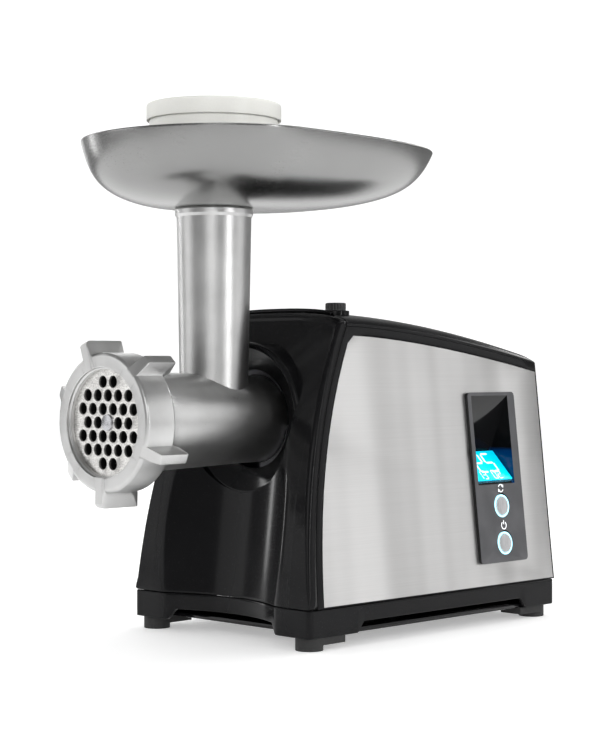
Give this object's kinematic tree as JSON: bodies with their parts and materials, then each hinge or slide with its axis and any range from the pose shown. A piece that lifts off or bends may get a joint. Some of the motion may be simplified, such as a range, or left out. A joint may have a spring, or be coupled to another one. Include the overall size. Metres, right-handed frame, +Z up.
{
  "type": "electric meat grinder",
  "caption": "Counter-top meat grinder: leaning black and steel motor casing, bayonet cutting head with ring nut, feed tube, oval tray and capped pusher.",
  "frame": {"origin": "on the table, under the middle of the machine's overall box", "axes": "+Z up; the cutting plate faces -Y; the control panel is on +X"},
  "size_m": [0.15, 0.2952, 0.2935],
  "materials": {
    "gloss_black": "glossy, smooth",
    "satin_black": "satin",
    "knob_black": "glossy, ribbed",
    "foot_rubber": "matt",
    "side_steel": "fine vertical brushing",
    "display_blue": "back-lit",
    "display_glass": "clear",
    "ring_light": "back-lit",
    "button_silver": "satin",
    "circuit_board": "lacquered",
    "latch_plastic": "matt",
    "bracket_steel": "rolled",
    "bright_steel": "bright",
    "socket_metal": "die-cast",
    "bronze": "sintered",
    "gear_nylon": "greased",
    "shaft_steel": "ground",
    "core_steel": "laminated",
    "copper": "enamelled",
    "fan_plastic": "matt",
    "carbon": "matt",
    "cast_aluminium": "satin, blasted",
    "bush_plastic": "matt",
    "plate_steel": "ground",
    "tray_metal": "satin, spun",
    "white_plastic": "satin"
  },
  "bodies": {
    "casing": {"base_tray": "gloss_black", "bottom_cover": "satin_black", "rubber_feet": "foot_rubber", "front_cover": "gloss_black", "main_shell": "gloss_black", "top_cover": "gloss_black", "steel_panel_right": "side_steel", "steel_panel_left": "side_steel", "control_bezel": "satin_black", "display_module": "display_blue", "display_window": "display_glass", "button_light_rings": "ring_light", "control_board": "circuit_board", "power_board": "circuit_board", "power_inlet": "satin_black", "latch_guide": "bracket_steel", "latch_spring": "bright_steel", "socket_ring": "socket_metal", "gearbox_case": "socket_metal", "gearbox_cover": "socket_metal", "gear_bushes": "bronze", "motor_stator": "core_steel", "motor_windings": "copper", "motor_front_frame": "bracket_steel", "motor_rear_frame": "bracket_steel", "carbon_brushes": "carbon", "motor_mounts": "foot_rubber", "case_screws": "bright_steel", "gearbox_screws": "bright_steel"},
    "release": {"lock_knob": "knob_black", "latch_bar": "latch_plastic"},
    "reverse_key": {"reverse_button": "button_silver"},
    "power_key": {"power_button": "button_silver"},
    "output_drive": {"output_wheel": "gear_nylon", "output_shaft": "shaft_steel"},
    "lay_drive": {"layshaft_wheel": "gear_nylon", "layshaft": "shaft_steel"},
    "rotor": {"motor_shaft": "shaft_steel", "motor_rotor": "core_steel", "motor_commutator": "copper", "motor_fan": "fan_plastic"},
    "auger": {"auger_screw": "cast_aluminium", "auger_shank": "shaft_steel", "knife_stud": "shaft_steel", "cutting_knife": "plate_steel"},
    "head": {"head_barrel": "cast_aluminium", "barrel_bush": "bush_plastic", "cutting_plate": "plate_steel"},
    "ring": {"ring_nut": "cast_aluminium"},
    "tray": {"feed_tray": "tray_metal"},
    "pusher": {"pusher_body": "white_plastic"},
    "cap": {"pusher_cap": "white_plastic"}
  },
  "joints": [
    {"name": "auger_spin", "type": "hinge", "parent": "casing", "child": "auger", "pos_m": [0, -0.1, 0.121], "axis": [0, 1, 0], "continuous": true},
    {"name": "output_spin", "type": "hinge", "parent": "casing", "child": "output_drive", "pos_m": [0, -0.01, 0.121], "axis": [0, 1, 0], "continuous": true},
    {"name": "layshaft_spin", "type": "hinge", "parent": "casing", "child": "lay_drive", "pos_m": [-0.02379, -0.005, 0.09399], "axis": [0, 1, 0], "continuous": true},
    {"name": "rotor_spin", "type": "hinge", "parent": "casing", "child": "rotor", "pos_m": [0, 0.05, 0.072], "axis": [0, 1, 0], "continuous": true},
    {"name": "head_release", "type": "hinge", "parent": "casing", "child": "head", "pos_m": [0, -0.0452, 0.121], "axis": [0, 1, 0], "range_deg": [0, 45]},
    {"name": "ring_removal", "type": "slide", "parent": "head", "child": "ring", "axis": [0, -1, 0], "range_m": [0, 0.045]},
    {"name": "tray_lift", "type": "slide", "parent": "head", "child": "tray", "axis": [0, 0, 1], "range_m": [0, 0.08]},
    {"name": "pusher_lift", "type": "slide", "parent": "tray", "child": "pusher", "axis": [0, 0, 1], "range_m": [0, 0.15]},
    {"name": "cap_lift", "type": "slide", "parent": "pusher", "child": "cap", "axis": [0, 0, 1], "range_m": [0, 0.03]},
    {"name": "release_press", "type": "slide", "parent": "casing", "child": "release", "axis": [0, 0, -1], "range_m": [0, 0.004], "stiffness_N_per_m": 800, "springref_m": -0.002, "deforming": ["latch_spring"]},
    {"name": "reverse_press", "type": "slide", "parent": "casing", "child": "reverse_key", "axis": [-0.9938, 0, -0.1115], "range_m": [0, 0.001], "stiffness_N_per_m": 900, "springref_m": -0.0005},
    {"name": "power_press", "type": "slide", "parent": "casing", "child": "power_key", "axis": [-0.9938, 0, -0.1115], "range_m": [0, 0.001], "stiffness_N_per_m": 900, "springref_m": -0.0005}
  ],
  "couplings": [
    {"joint": "output_spin", "follows": "auger_spin", "ratio": 1},
    {"joint": "layshaft_spin", "follows": "auger_spin", "ratio": -4},
    {"joint": "rotor_spin", "follows": "auger_spin", "ratio": 20}
  ]
}
